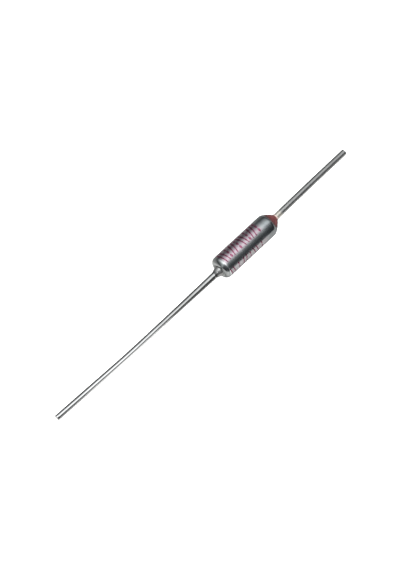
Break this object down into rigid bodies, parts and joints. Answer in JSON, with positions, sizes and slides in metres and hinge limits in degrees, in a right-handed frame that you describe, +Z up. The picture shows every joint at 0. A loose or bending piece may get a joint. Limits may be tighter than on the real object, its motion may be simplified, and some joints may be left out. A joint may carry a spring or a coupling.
{
  "type": "thermal fuse",
  "caption": "Thermal fuse: a slim metal can with a wire lead at each end, one swaged to the closed end and one sealed in an epoxy cone. It opens a circuit once, when it gets too hot.",
  "frame": {"origin": "on the fuse's axis, halfway along the straight can", "axes": "+X along the axis towards the insulated lead, -X towards the lead riveted to the can; +Z up"},
  "size_m": [0.0654, 0.004, 0.004],
  "materials": {
    "plated_can": "polished",
    "tinned_lead": "polished",
    "dull_tinned_lead": "satin",
    "epoxy": "gloss",
    "pellet": "matte",
    "disc_metal": "satin",
    "spring_steel": "satin",
    "silver_contact": "satin",
    "ceramic": "matte"
  },
  "bodies": {
    "root": {"case_lead": "tinned_lead", "case": "plated_can", "thermal_pellet": "pellet", "pellet_disc": "disc_metal", "compression_spring": "spring_steel", "contact_disc": "disc_metal", "star_contact": "silver_contact", "trip_spring": "spring_steel", "ceramic_bushing": "ceramic", "isolated_lead": "dull_tinned_lead", "epoxy_seal": "epoxy"}
  },
  "joints": []
}
